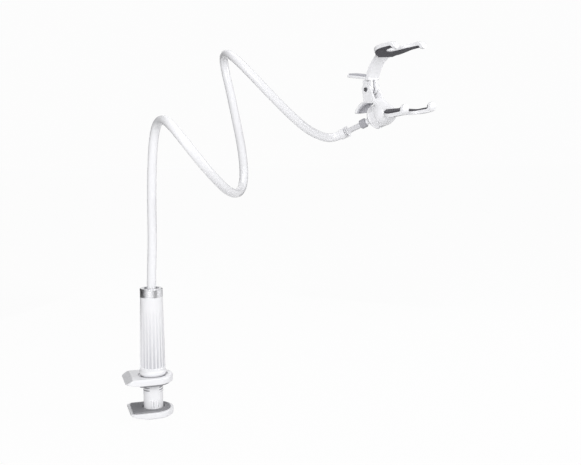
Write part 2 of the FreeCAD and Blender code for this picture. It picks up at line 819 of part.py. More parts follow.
def make_lower_claw():
    claw = make_hand(LOWER_ARC_START, LOWER_LIP_HEIGHT)
    root = on_arc(CLAW_ARC_RADIUS + CLAW_WALL * HALF, EAR_ROOT)
    heel = (PIVOT_BACK + EAR_RADIUS, LOWER_LEVER_CENTRE_UP + LOWER_LEVER_RADIUS - LEVER_WALL)
    corners = [
        (PIVOT_BACK - EAR_RADIUS, PIVOT_UP),
        root,
        heel,
        (PIVOT_BACK + EAR_RADIUS, PIVOT_UP),
    ]
    inside = Part.makeCylinder(
        CLAW_ARC_RADIUS, 2 * finger_outer, Vector(-finger_outer, CLAW_ARC_CENTRE_BACK, arc_up), SIDEWAYS
    )
    claw = claw.fuse([lower_lever(), ear_plates(outer_ear, corners), make_boss().cut(inside)])
    claw = claw.cut(Part.makeSphere(BALL_RADIUS + BALL_CLEARANCE, Vector(0, SOCKET_BACK, SOCKET_UP)))
    return claw.cut([pin_hole(), make_lower_grip()]).removeSplitter()


def make_claw_pad(lip_height):
    top = claw_floor + lip_height - CLAW_PAD_MARGIN
    band = claw_band(
        CLAW_ARC_RADIUS - CLAW_PAD_THICKNESS,
        CLAW_PAD_THICKNESS,
        CLAW_PAD_START,
        lip_inner + CLAW_PAD_THICKNESS,
        lip_inner,
        top,
    )
    return hand(band, CLAW_PAD_MARGIN, PIVOT_BACK, top)


def make_lower_grip():
    outer = LOWER_LEVER_RADIUS - LEVER_WALL
    strip = lever_arc(
        outer, outer - GRIP_THICKNESS, WHOLE_TURN / 4, LOWER_LEVER_END + 2 * GRIP_MARGIN
    )
    return widened(strip, LEVER_HALF_WIDTH - GRIP_MARGIN)


def upper_lever_strip(bottom, top, root_back, tip_back):
    """Side profile of the upper lever: a straight rising blade between two levels above its underside."""
    slope = (UPPER_LEVER_TIP_UP - UPPER_LEVER_ROOT_UP) / (UPPER_LEVER_TIP_BACK - UPPER_LEVER_ROOT_BACK)

    def level(back, above):
        return back, UPPER_LEVER_ROOT_UP + slope * (back - UPPER_LEVER_ROOT_BACK) + above

    return face(
        clip_side,
        level(root_back, bottom),
        level(tip_back, bottom),
        level(tip_back, top),
        level(root_back, top),
    )


def upper_lever():
    blade = upper_lever_strip(-LEVER_WALL, 0, UPPER_LEVER_ROOT_BACK, UPPER_LEVER_TIP_BACK)
    return widened(blade, LEVER_HALF_WIDTH)


def make_upper_claw():
    claw = over_to_upper(make_hand(upper_arc_start, UPPER_LIP_HEIGHT))
    lever_under = UPPER_LEVER_ROOT_UP - LEVER_WALL * HALF
    corners = [
        (PIVOT_BACK - EAR_RADIUS, PIVOT_UP),
        (UPPER_LEVER_ROOT_BACK, lever_under),
        (PIVOT_BACK + EAR_RADIUS, lever_under),
        (PIVOT_BACK + EAR_RADIUS, PIVOT_UP),
    ]
    claw = claw.fuse([upper_lever(), ear_plates(inner_ear, corners)])
    return claw.cut(pin_hole()).removeSplitter()


def make_upper_grip():
    strip = upper_lever_strip(0, GRIP_THICKNESS, PIVOT_BACK, UPPER_LEVER_TIP_BACK - GRIP_MARGIN)
    return widened(strip, LEVER_HALF_WIDTH - GRIP_MARGIN)


def make_pivot_pin():
    start = Vector(-ear_outside, PIVOT_BACK, PIVOT_UP)
    shank = Part.makeCylinder(PIN_RADIUS, 2 * ear_outside + PIN_TAIL, start, SIDEWAYS)
    head_start = start - SIDEWAYS * PIN_HEAD_HEIGHT
    head = Part.makeCylinder(PIN_HEAD_RADIUS, PIN_HEAD_HEIGHT, head_start, SIDEWAYS)
    return shank.fuse(head).removeSplitter()


def make_pin_retainer():
    start = Vector(ear_outside, PIVOT_BACK, PIVOT_UP)
    disc = Part.makeCylinder(RETAINER_RADIUS, RETAINER_THICKNESS, start, SIDEWAYS)
    return disc.cut(Part.makeCylinder(PIN_RADIUS + RUNNING_FIT, RETAINER_THICKNESS, start, SIDEWAYS))


def make_torsion_spring():
    """A coil round the pin whose two straight legs end on the levers and push them apart."""
    coil_radius = PIN_RADIUS + RUNNING_FIT + 2 * SPRING_WIRE_RADIUS
    pitch = 2 * SPRING_WIRE_RADIUS + RUNNING_FIT
    quarter = WHOLE_TURN / 4
    start_angle = 3 * quarter - SPRING_UPPER_LEG_LEAN
    part_turn = SPRING_UPPER_LEG_LEAN + SPRING_LOWER_LEG_LEAN
    turns = SPRING_TURNS + part_turn / WHOLE_TURN
    helix = Part.makeHelix(pitch, pitch * turns, coil_radius)
    helix.translate(Vector(0, 0, -pitch * turns / 2))
    first = helix.Edges[0]
    last = helix.Edges[-1]
    start = first.valueAt(first.FirstParameter)
    heading = first.tangentAt(first.FirstParameter)
    finish = last.valueAt(last.LastParameter)
    leaving = last.tangentAt(last.LastParameter)
    coil = Part.Wire(helix.Edges).makePipeShell([wire_section(start, heading)], True, True)
    upper_leg = Part.Face(wire_section(start, heading)).extrude(heading * -SPRING_LEG)
    lower_leg = Part.Face(wire_section(finish, leaving)).extrude(leaving * SPRING_LEG)
    spring = coil.fuse([upper_leg, lower_leg])
    spring.rotate(ORIGIN, UP, start_angle)
    spring.rotate(ORIGIN, BACKWARD, quarter)
    spring.translate(Vector(0, PIVOT_BACK, PIVOT_UP))
    reach = Part.makeCylinder(SPRING_LEG, 2 * inner_ear, Vector(-inner_ear, PIVOT_BACK, PIVOT_UP), SIDEWAYS)
    trimmed = spring.common(reach.cut([lower_lever(), upper_lever()]))
    return max(trimmed.Solids, key=lambda solid: solid.Volume)


def wire_section(centre, heading):
    """The wire's outline, square to its heading."""
    turn = Rotation(UP, heading)
    points = []
    for index in range(SPRING_WIRE_SIDES):
        across, along = polar(SPRING_WIRE_RADIUS, index * WHOLE_TURN / SPRING_WIRE_SIDES)
        points.append(centre + turn.multVec(Vector(across, along, 0)))
    return Part.makePolygon(points + points[:1])


def placed(shape, frame):
    shape.Placement = frame.multiply(shape.Placement)
    return shape


def build_parts():
    parts = {
        "lower_jaw": make_lower_jaw(),
        "lower_pad": make_lower_pad(),
        "upper_jaw": make_upper_jaw(),
        "upper_pad": make_upper_pad(),
        "thrust_washer": make_thrust_washer(),
        "handle": make_handle(),
        "handle_ring": make_handle_ring(),
        "bendable_arm": make_arm(),
        "base_sleeve": make_base_sleeve(),
        "set_screw": make_set_screw(),
    }
    on_stud = {
        "end_cap": make_end_cap(),
        "ball_stud": make_stud(),
        "ball": make_ball(),
    }
    on_clip = {
        "ball_nut": make_ball_nut(),
        "lower_claw": make_lower_claw(),
        "lower_claw_pad": make_claw_pad(LOWER_LIP_HEIGHT),
        "lower_lever_grip": make_lower_grip(),
        "upper_claw": make_upper_claw(),
        "upper_claw_pad": over_to_upper(make_claw_pad(UPPER_LIP_HEIGHT)),
        "upper_lever_grip": make_upper_grip(),
        "pivot_pin": make_pivot_pin(),
        "pin_retainer": make_pin_retainer(),
        "torsion_spring": make_torsion_spring(),
    }
    parts.update((name, placed(shape, stud_frame)) for name, shape in on_stud.items())
    parts.update((name, placed(shape, clip_frame)) for name, shape in on_clip.items())
    return parts


os.makedirs("parts", exist_ok=True)
for name, shape in build_parts().items():
    print(name, shape.ShapeType, len(shape.Solids), shape.isValid(), round(shape.Volume, 1))
    shape.exportStep("parts/" + name + ".step")
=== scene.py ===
"""Looks of a holder: a desk clamp with a fluted handle, a bent arm and a ball-jointed clip."""

import json

import bmesh
import bpy
import numpy as np
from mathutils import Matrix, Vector


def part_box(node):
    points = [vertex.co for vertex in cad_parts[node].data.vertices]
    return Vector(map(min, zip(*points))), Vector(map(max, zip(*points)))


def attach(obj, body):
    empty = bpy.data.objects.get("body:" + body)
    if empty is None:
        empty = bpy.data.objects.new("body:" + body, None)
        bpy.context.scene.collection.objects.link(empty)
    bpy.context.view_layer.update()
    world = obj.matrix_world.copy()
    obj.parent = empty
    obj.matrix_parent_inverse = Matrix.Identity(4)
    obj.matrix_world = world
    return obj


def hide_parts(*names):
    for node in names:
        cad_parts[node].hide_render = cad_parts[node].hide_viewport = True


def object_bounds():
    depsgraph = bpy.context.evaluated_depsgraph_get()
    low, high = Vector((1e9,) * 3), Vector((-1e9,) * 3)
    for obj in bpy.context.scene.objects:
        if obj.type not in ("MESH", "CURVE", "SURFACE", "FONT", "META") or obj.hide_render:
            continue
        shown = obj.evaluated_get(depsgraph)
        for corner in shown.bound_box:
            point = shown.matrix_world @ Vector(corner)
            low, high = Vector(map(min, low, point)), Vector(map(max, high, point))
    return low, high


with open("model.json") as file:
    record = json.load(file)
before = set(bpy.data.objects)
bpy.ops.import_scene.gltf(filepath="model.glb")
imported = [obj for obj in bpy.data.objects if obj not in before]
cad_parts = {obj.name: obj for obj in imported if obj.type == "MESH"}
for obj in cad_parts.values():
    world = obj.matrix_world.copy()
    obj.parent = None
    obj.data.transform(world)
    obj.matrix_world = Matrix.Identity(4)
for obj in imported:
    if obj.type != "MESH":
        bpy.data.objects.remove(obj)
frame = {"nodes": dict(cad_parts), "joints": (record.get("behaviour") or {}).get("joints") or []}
cad_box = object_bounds()


# Column and lower jaw.
# One white moulding in gloss plastic: a D-shaped foot with a keyed post standing on it.
# The mould leaves a faint ripple and a slightly uneven shine.
class Tone:
    """One shader socket: arithmetic on it adds Math nodes to the material that it belongs to."""

    def __init__(self, socket):
        self.socket = socket

    def node(self, kind, settings, inputs, output=0):
        """Adds any node: its settings come first, then a value or link for each named socket."""
        tree = self.socket.id_data
        made = tree.nodes.new("ShaderNode" + kind)
        for name, value in settings.items():
            setattr(made, name, value)
        for name, value in inputs.items():
            if isinstance(value, Tone):
                tree.links.new(value.socket, made.inputs[name])
            else:
                made.inputs[name].default_value = value
        return Tone(made.outputs[output])

    def math(self, operation, first, second=0.0):
        return self.node("Math", {"operation": operation}, {0: first, 1: second})

    def __add__(self, other):
        return self.math("ADD", self, other)

    def __sub__(self, other):
        return self.math("SUBTRACT", self, other)

    def __rsub__(self, other):
        return self.math("SUBTRACT", other, self)

    def __mul__(self, other):
        return self.math("MULTIPLY", self, other)

    def sine(self):
        return self.math("SINE", self)

    def over(self, edge):
        """1 where the value is above the edge, else 0."""
        return self.math("GREATER_THAN", self, edge)

    def noise(self, scale, detail=2.0):
        """Noise from 0 to 1 at this place, with scale in features to the metre."""
        sockets = {"Vector": self, "Scale": scale, "Detail": detail}
        return self.node("TexNoise", {}, sockets)

    def axis(self, name):
        """One coordinate of this place."""
        return self.node("SeparateXYZ", {}, {0: self}, name)

    def along(self, start, direction):
        """How far this place lies from the start in the direction."""
        sockets = {0: self, 1: tuple(direction)}
        reach = self.node("VectorMath", {"operation": "DOT_PRODUCT"}, sockets, "Value")
        return reach - float(np.dot(start, direction))

    def within(self, low, high):
        """1 where the value lies between the two edges, else 0."""
        return self.over(low) * (1 - self.over(high))

    def between(self, plain, marked):
        """A colour that goes from plain at 0 to marked at 1; either may be a tone itself."""
        sockets = {"Factor": self}
        for place, colour in ((6, plain), (7, marked)):
            sockets[place] = colour if isinstance(colour, Tone) else colour + (1.0,)
        return self.node("Mix", {"data_type": "RGBA"}, sockets, 2)


class Finish:
    """A material under way: its place on the piece and the shader that takes the results."""

    def __init__(self, name, **fixed):
        self.material = bpy.data.materials.new(name)
        self.material.use_nodes = True
        tree = self.material.node_tree
        self.shader = next(n for n in tree.nodes if n.type == "BSDF_PRINCIPLED")
        for socket, value in fixed.items():
            self.shader.inputs[socket.replace("_", " ")].default_value = value
        self.place = Tone(tree.nodes.new("ShaderNodeTexCoord").outputs["Object"])

    def feed(self, socket, tone):
        self.material.node_tree.links.new(tone.socket, self.shader.inputs[socket])

    def raise_by(self, height, distance):
        """Bumps the surface by the height, whose 1 stands for the distance in metres."""
        sockets = {"Height": height, "Distance": distance, "Strength": 1.0}
        self.feed("Normal", height.node("Bump", {}, sockets))

    def paint(self, *names):
        """Puts the finish on these CAD nodes."""
        for name in names:
            for place in frame["nodes"][name].material_slots:
                place.link = "OBJECT"
                place.material = self.material


def moulded_white(name, shine):
    """White plastic: its colour and shine drift slowly over the piece and the skin ripples a little."""
    drift_scale = 30.0
    ripple_scale = 260.0
    ripple_height = 0.000006
    dull_share = 0.1
    finish = Finish(name, IOR=1.45)
    drift = finish.place.noise(drift_scale)
    finish.colour = drift.between((0.845, 0.845, 0.865), (0.875, 0.875, 0.89))
    finish.feed("Base Color", finish.colour)
    finish.feed("Roughness", drift * dull_share + shine)
    finish.raise_by(finish.place.noise(ripple_scale), ripple_height)
    return finish


def softened(node, finish, body, grid, passes):
    """A copy of a moulding with the rounded edges that its mould gives: the surface is rebuilt on a cubic
    grid of the given step, and each point is averaged with its neighbours the given number of times."""
    mesh = frame["nodes"][node].data.copy()
    shell = bmesh.new()
    shell.from_mesh(mesh)
    same_point = 1e-6
    bmesh.ops.remove_doubles(shell, verts=shell.verts, dist=same_point)
    shell.to_mesh(mesh)
    shell.free()
    piece = bpy.data.objects.new(node + "_moulding", mesh)
    bpy.context.collection.objects.link(piece)
    rebuilt = piece.modifiers.new("rebuilt", "REMESH")
    rebuilt.mode = "VOXEL"
    rebuilt.voxel_size = grid
    rebuilt.use_smooth_shade = True
    averaged = piece.modifiers.new("averaged", "SMOOTH")
    averaged.factor = 0.5
    averaged.iterations = passes
    view = bpy.context.evaluated_depsgraph_get()
    piece.data = bpy.data.meshes.new_from_object(piece.evaluated_get(view))
    piece.modifiers.clear()
    piece.data.materials.clear()
    piece.data.materials.append(finish.material)
    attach(piece, body)
    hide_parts(node)


thread_lead = 0.003
thread_start = 0.0185
groove_low = 0.3
groove_high = 0.7
keyway_edge = 0.0055
# Grey painted into the thread's grooves as painted shade.
thread_groove_painted_shade = (0.3, 0.3, 0.32)
column_white = moulded_white("column_white", shine=0.22)
column_x = column_white.place.axis("X")
column_y = column_white.place.axis("Y")
column_z = column_white.place.axis("Z")
turns = column_y.math("ARCTAN2", column_y, column_x) * (1 / (2 * np.pi))
along_lead = column_z * (1 / thread_lead) - turns - thread_start / thread_lead
in_groove = along_lead.math("FRACT", along_lead + 0.5)
groove = in_groove.within(groove_low, groove_high)
on_thread = column_z.over(thread_start) * (column_x * column_x).over(keyway_edge**2)
# Painted shade: the base colour turns grey in the thread's grooves on the post's plain sides, in place of
# the shade the valleys would cast.
painted_thread_shade = groove * on_thread
column_white.feed("Base Color", painted_thread_shade.between(column_white.colour, thread_groove_painted_shade))
softened("lower_jaw", column_white, "column", grid=0.0005, passes=7)


# Thread of the column.
# A right-hand thread with a 3 mm lead, moulded on the post's two plain sides between the keyways.
# It starts above the lower half of the gap and carries on inside the handle.
def ring_skin(name, points, closed=False):
    """A closed skin over lines x stations x ring x 3 points: four-sided walls lead from ring to ring.
    A flat face ends each line, unless it is closed and its last ring leads back to its first."""
    lines, stations, ring, _ = points.shape
    corner = np.arange(lines * stations * ring).reshape(lines, stations, ring)
    ends = np.concatenate([corner[:, 0, ::-1], corner[:, -1]]).tolist()
    if closed:
        corner = np.concatenate([corner, corner[:, :1]], axis=1)
        ends = []
    after = np.roll(corner, -1, axis=2)
    walls = np.stack([corner[:, :-1], after[:, :-1], after[:, 1:], corner[:, 1:]], axis=-1)
    mesh = bpy.data.meshes.new(name)
    mesh.from_pydata(points.reshape(-1, 3), [], walls.reshape(-1, 4).tolist() + ends)
    mesh.update()
    piece = bpy.data.objects.new(name, mesh)
    bpy.context.collection.objects.link(piece)
    return piece


def raised_lines(name, path, out, half_width, height):
    """Half-round lines on a surface. A point is path + side * half_width * cos(turn) + out * height *
    sin(turn) for turns from 0 to pi, closed by two points under the surface. The end stations are lowered,
    so that each line runs out. path and out hold lines x stations x 3 values."""
    round_points = 7
    depth_share = 0.5
    end_share = 0.25
    run = np.gradient(path, axis=1)
    run /= np.linalg.norm(run, axis=2, keepdims=True)
    side = np.cross(out, run)
    turn = np.linspace(0.0, np.pi, round_points)
    across = np.concatenate([np.cos(turn), [-1.0, 1.0]]) * half_width
    above = np.concatenate([np.sin(turn), [-depth_share, -depth_share]]) * height
    rise = np.ones(path.shape[1])
    rise[[0, -1]] = end_share
    lift = rise[:, None] * above
    points = path[:, :, None] + side[:, :, None] * across[:, None] + out[:, :, None] * lift[:, :, None]
    return ring_skin(name, points)


thread_turns = 24
thread_half_angle = np.radians(60.0)
thread_stations = 33
thread_half_width = 0.0007
thread_height = 0.00026
column_radius = 0.011
sweep = np.linspace(-thread_half_angle, thread_half_angle, thread_stations)
arc_middle = np.pi * np.arange(2 * thread_turns)
angle = arc_middle[:, None] + sweep
height = thread_start + thread_lead * angle / (2 * np.pi)
outward = np.stack([np.cos(angle), np.sin(angle), np.zeros_like(angle)], axis=-1)
upward = np.stack([np.zeros_like(angle), np.zeros_like(angle), height], axis=-1)
crest = outward * column_radius + upward
thread = raised_lines("column_thread", crest, outward, thread_half_width, thread_height)
thread.data.materials.append(column_white.material)
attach(thread, "column")


# Pads of the two jaws.
# Grey rubber sheets let into the jaws, with fine ribs across the jaw to grip the desk.
def rubber(name, plain, worn):
    """Matt rubber: its grey drifts with a fine grain that also roughens the skin."""
    grain_scale = 900.0
    grain_height = 0.00012
    matt_level = 0.6
    matt_range = 0.2
    finish = Finish(name, IOR=1.45)
    grain = finish.place.noise(grain_scale, detail=4.0)
    finish.feed("Base Color", grain.between(plain, worn))
    finish.feed("Roughness", grain * matt_range + matt_level)
    finish.raise_by(grain, grain_height)
    return finish


def straight(starts, ends, margin=0.0006):
    """Stations of straight lines from the starts to the ends: each end and a point a margin inside it."""
    length = np.linalg.norm(ends - starts, axis=1, keepdims=True)
    inside = margin / length
    share = np.stack([np.zeros_like(inside), inside, 1 - inside, np.ones_like(inside)], axis=1)
    return starts[:, None] + (ends - starts)[:, None] * share


pad_rubber = rubber("pad_rubber", (0.26, 0.26, 0.275), (0.34, 0.34, 0.355))
pad_rubber.paint("lower_pad", "upper_pad")
pad_corner = 0.003
pad_hole = 0.0125
rib_pitch = 0.0017
rib_margin = 0.001
rib_half_width = 0.0005
rib_height = 0.0003


def pad_ribs(node, face_height, facing, body):
    """Ribs along Y over a D-shaped pad. The half chord at x is the round end's for x above 0, else the
    straight side less the corner's bite; ribs that meet the column's hole are split in two."""
    low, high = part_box(node)
    side = high[1]
    x = np.arange(low[0] + rib_margin, side - rib_margin, rib_pitch)
    into_corner = np.clip(pad_corner - (x - low[0]), 0.0, pad_corner)
    square_end = side - pad_corner + np.sqrt(pad_corner**2 - into_corner**2)
    half_chord = np.where(x > 0, np.sqrt(np.maximum(side**2 - x**2, 0.0)), square_end) - rib_margin / 2
    hole = np.sqrt(np.maximum(pad_hole**2 - x**2, 0.0)) + rib_margin / 2
    whole = (np.abs(x) > pad_hole) & (half_chord > rib_margin)
    split = np.abs(x) <= pad_hole
    rib_x = np.concatenate([x[whole], x[split], x[split]])
    start = np.concatenate([-half_chord[whole], hole[split], -half_chord[split]])
    end = np.concatenate([half_chord[whole], half_chord[split], -hole[split]])
    level = np.full_like(rib_x, face_height)
    lines = straight(np.stack([rib_x, start, level], axis=1), np.stack([rib_x, end, level], axis=1))
    out = np.broadcast_to([0.0, 0.0, facing], lines.shape)
    piece = raised_lines(node + "_ribs", lines, out, rib_half_width, rib_height)
    piece.data.materials.append(pad_rubber.material)
    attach(piece, body)


pad_ribs("lower_pad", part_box("lower_pad")[1][2], 1.0, "column")
pad_ribs("upper_pad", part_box("upper_pad")[0][2], -1.0, "slider")


# Upper jaw and thrust washer.
# A white moulding that slides on the column, and the grey ring in its seat that the handle turns on.
clamp_white = moulded_white("clamp_white", shine=0.22)
softened("upper_jaw", clamp_white, "slider", grid=0.0005, passes=8)
rubber("washer_grey", (0.3, 0.3, 0.32), (0.36, 0.36, 0.38)).paint("thrust_washer")


# Handle.
# A white fluted tube with a polished bead at its foot, threaded inside on the column.
# The flutes are deep at the foot and run out towards the ring; grey shade is painted into their floors,
# strongest at the foot.
flute_count = 20
flute_foot = 0.0095
flute_head = 0.018
flute_painted_shade = (0.54, 0.54, 0.57)
handle_white = moulded_white("handle_white", shine=0.16)
handle_low, handle_high = (corner[2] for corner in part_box("handle"))
handle_x = handle_white.place.axis("X")
handle_y = handle_white.place.axis("Y")
flute_turn = handle_x.math("ARCTAN2", handle_y, handle_x) * flute_count
flute_wave = flute_turn.math("COSINE", flute_turn) * 0.5 + 0.5
up_handle = handle_white.place.axis("Z")
flute_span = {"From Min": handle_high - flute_head, "From Max": handle_low + flute_foot, "Value": up_handle}
flute_depth = up_handle.node("MapRange", {}, flute_span)
# Painted shade: the base colour greys in the flutes' floors and fades towards the ring.
painted_flute_shade = flute_wave * flute_depth * up_handle.over(handle_low + flute_foot)
handle_white.feed("Base Color", painted_flute_shade.between(handle_white.colour, flute_painted_shade))
handle_white.paint("handle")


# Handle ring.
# A turned bright metal ring pressed on the handle's top; the lathe leaves fine lines round it.
turned_metal = Finish("turned_metal", Metallic=1.0)
lathe_pitch = 0.00045
lathe_depth = 0.000006
polish_level = 0.24
polish_range = 0.06
lathe_lines = (turned_metal.place.axis("Z") * (2 * np.pi / lathe_pitch)).sine() * 0.5 + 0.5
turned_metal.feed("Base Color", lathe_lines.between((0.62, 0.62, 0.64), (0.78, 0.78, 0.8)))
turned_metal.feed("Roughness", lathe_lines * polish_range + polish_level)
turned_metal.raise_by(lathe_lines, lathe_depth)
turned_metal.paint("handle_ring")


# Bendable arm.
# A glossy white plastic skin over a bendable core, bent into the corners listed here.
# It stands in the column, and its far end lies on the ball stud's axis, inside the end cap.
joints = {joint["name"]: joint for joint in frame["joints"]}
ball_centre = np.array(joints["ball_turn"]["pos_m"])
stud_axis = np.array(joints["ball_turn"]["axis"])
arm_radius = 0.005
arm_end_distance = 0.038
arm_end_run = 0.015
steps_per_bend = 16
arm_heading = np.radians(-18.0)
arm_reach = np.array([np.cos(arm_heading), np.sin(arm_heading), 0.0])
arm_side = np.array([-np.sin(arm_heading), np.cos(arm_heading), 0.0])
arm_up = np.array([0.0, 0.0, 1.0])
arm_corners = [
    (0.0, 0.0, 0.14),
    (0.0025, 0.0, 0.19),
    (0.0025, -0.001, 0.239),
    (0.0045, -0.004, 0.279),
    (0.008, -0.009, 0.307),
    (0.0145, -0.022, 0.321),
    (0.0255, -0.043, 0.322),
    (0.0365, -0.06, 0.313),
    (0.0495, -0.067, 0.298),
    (0.0635, -0.062, 0.279),
    (0.0775, -0.046, 0.26),
    (0.0915, -0.02, 0.243),
    (0.1005, 0.016, 0.242),
    (0.1025, 0.048, 0.26),
    (0.0985, 0.07, 0.29),
    (0.0905, 0.085, 0.326),
    (0.0825, 0.097, 0.361),
    (0.0765, 0.102, 0.386),
    (0.0755, 0.091, 0.401),
    (0.0825, 0.07, 0.402),
    (0.0935, 0.052, 0.393),
    (0.1095, 0.045, 0.377),
    (0.1315, 0.046, 0.354),
    (0.1545, 0.053, 0.331),
    (0.1765, 0.064, 0.312),
    (0.1975, 0.075, 0.303),
]


def smooth_route(corners, steps):
    """A line bent over its corners. Between the middles of two runs it is a parabola that both runs touch:
    first * (1 - t)^2 + corner * 2t(1 - t) + last * t^2. The first and last half runs are straight."""
    middles = (corners[1:] + corners[:-1]) / 2
    t = np.linspace(0.0, 1.0, steps, endpoint=False)[:, None]
    first = middles[:-1, None]
    corner = corners[1:-1, None]
    last = middles[1:, None]
    bends = first * (1 - t) ** 2 + corner * 2 * t * (1 - t) + last * t**2
    return np.concatenate([corners[:1], bends.reshape(-1, 3), middles[-1:], corners[-1:]])


def swept_tube(name, route, radius, across):
    """A round tube: a point is route + radius * (side * cos(turn) + rise * sin(turn)), where side is square
    to the route and to the given direction, and rise is square to route and side."""
    tube_sides = 48
    sharp_edge = np.radians(60.0)
    run = np.gradient(route, axis=0)
    run /= np.linalg.norm(run, axis=1, keepdims=True)
    side = np.cross(run, across)
    side /= np.linalg.norm(side, axis=1, keepdims=True)
    rise = np.cross(run, side)
    turn = np.linspace(0.0, 2 * np.pi, tube_sides, endpoint=False)[:, None]
    points = route[:, None] + radius * (side[:, None] * np.cos(turn) + rise[:, None] * np.sin(turn))
    piece = ring_skin(name, points[None])
    piece.data.shade_smooth()
    piece.data.set_sharp_from_angle(angle=sharp_edge)
    return piece


arm_foot = np.array([0.0, 0.0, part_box("bendable_arm")[0][2]])
arm_end = ball_centre + stud_axis * arm_end_distance
arm_bends = np.array(arm_corners) @ np.array([arm_reach, arm_side, arm_up])
arm_line = np.vstack([arm_foot, arm_bends, arm_end + stud_axis * arm_end_run, arm_end])
arm_route = smooth_route(arm_line, steps_per_bend)
arm_skin = swept_tube("arm_skin", arm_route, arm_radius, arm_reach)
arm_white = moulded_white("arm_white", shine=0.16)
arm_skin.data.materials.append(arm_white.material)
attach(arm_skin, "column")
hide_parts("bendable_arm")


# Arm fixing.
# Steel sleeve and set screw in the column; both are hidden by the handle.
def brushed(name, dark, bright):
    """Steel whose brightness and shine vary with a fine grain."""
    grain_scale = 700.0
    brushed_level = 0.28
    brushed_range = 0.15
    finish = Finish(name, Metallic=1.0)
    grain = finish.place.noise(grain_scale, detail=3.0)
    finish.feed("Base Color", grain.between(dark, bright))
    finish.feed("Roughness", grain * brushed_range + brushed_level)
    return finish


steel = brushed("steel", (0.42, 0.42, 0.44), (0.56, 0.56, 0.58))
steel.paint("base_sleeve", "set_screw")


# End cap.
# A white cap pressed over the arm's end, turned with two collars at its front; grey shade is painted into
# their grooves.
stud_beside = np.cross(stud_axis, arm_up)
stud_beside /= np.linalg.norm(stud_beside)
stud_above = np.cross(stud_axis, stud_beside)


def turned_piece(name, along, radius):
    """A hollow piece turned on the stud's axis: a point is ball_centre + axis * along + radius * (beside *
    cos(turn) + above * sin(turn)), and the profile runs forth outside and back inside."""
    turned_sides = 96
    sharp_edge = np.radians(40.0)
    turn = np.linspace(0.0, 2 * np.pi, turned_sides, endpoint=False)[:, None]
    circle = stud_beside * np.cos(turn) + stud_above * np.sin(turn)
    line = ball_centre + stud_axis * np.array(along)[:, None]
    points = line[:, None] + circle * np.array(radius)[:, None, None]
    piece = ring_skin(name, points[None], closed=True)
    piece.data.shade_smooth()
    piece.data.set_sharp_from_angle(angle=sharp_edge)
    return piece


cap_front = 0.036
cap_length = 0.011
cap_seat = 0.038
cap_radius = 0.0061
collar_radius = 0.0066
collar_width = 0.0012
collar_groove_radius = 0.0056
collar_groove_width = 0.0009
collar_groove_painted_shade = (0.3, 0.3, 0.32)
cap_edge = 0.0002
running_fit = 0.00006
stud_radius = 0.0032
cap_bore = arm_radius + running_fit
stud_bore = stud_radius + running_fit
first_groove = cap_front + collar_width
second_collar = first_groove + collar_groove_width
second_groove = second_collar + collar_width
cap_body = second_groove + collar_groove_width
cap_rear = cap_front + cap_length
cap_profile = [
    (cap_front, stud_bore),
    (cap_front, collar_radius - cap_edge),
    (cap_front + cap_edge, collar_radius),
    (first_groove - cap_edge, collar_radius),
    (first_groove, collar_groove_radius),
    (second_collar, collar_groove_radius),
    (second_collar + cap_edge, collar_radius),
    (second_groove - cap_edge, collar_radius),
    (second_groove, collar_groove_radius),
    (cap_body, collar_groove_radius),
    (cap_body + cap_edge, cap_radius),
    (cap_rear - 2 * cap_edge, cap_radius),
    (cap_rear, cap_radius - 2 * cap_edge),
    (cap_rear, cap_bore),
    (cap_seat, cap_bore),
    (cap_seat, stud_bore),
]
cap_white = moulded_white("cap_white", shine=0.2)
along_cap = cap_white.place.along(ball_centre, stud_axis)
# Painted shade: the base colour turns grey in the two grooves beside the collars.
painted_collar_groove_mask = along_cap.within(first_groove, second_collar) + along_cap.within(second_groove, cap_body)
cap_white.feed("Base Color", painted_collar_groove_mask.between(cap_white.colour, collar_groove_painted_shade))
cap = turned_piece("end_cap_turning", *zip(*cap_profile))
cap.data.materials.append(cap_white.material)
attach(cap, "column")
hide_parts("end_cap")


# Ball joint.
# A pale satin rod, a grey knurled hub with the ball on its pale neck, and a white faceted nut that
# closes the socket over the ball.
def satin(name, dark, bright):
    """Satin plastic: a slow drift of tone and shine."""
    drift_scale = 300.0
    satin_level = 0.32
    satin_range = 0.12
    finish = Finish(name, IOR=1.5)
    drift = finish.place.noise(drift_scale)
    finish.colour = drift.between(dark, bright)
    finish.feed("Base Color", finish.colour)
    finish.feed("Roughness", drift * satin_range + satin_level)
    return finish


satin("rod_satin", (0.62, 0.62, 0.64), (0.68, 0.68, 0.7)).paint("ball_stud")
hub_satin = satin("hub_satin", (0.4, 0.4, 0.43), (0.46, 0.46, 0.49))
hub_start = 0.0118
knurl_count = 36
knurl_depth = 0.00012
neck_shade = (0.82, 0.82, 0.84)
on_hub = hub_satin.place.along(ball_centre, stud_axis).over(hub_start)
hub_satin.feed("Base Color", on_hub.between(neck_shade, hub_satin.colour))
hub_beside = hub_satin.place.along(ball_centre, stud_beside)
hub_above = hub_satin.place.along(ball_centre, stud_above)
knurl = (hub_beside.math("ARCTAN2", hub_above, hub_beside) * knurl_count).sine() * on_hub
hub_satin.raise_by(knurl, knurl_depth)
hub_satin.paint("ball")
joint_white = moulded_white("joint_white", shine=0.2)
softened("ball_nut", joint_white, "socket", grid=0.0003, passes=10)


# Claws.
# Two white forked mouldings whose ears share one pin; each has a lever behind.
claw_white = moulded_white("claw_white", shine=0.2)
softened("lower_claw", claw_white, "clip_base", grid=0.00038, passes=12)
softened("upper_claw", claw_white, "clip_top", grid=0.00038, passes=12)


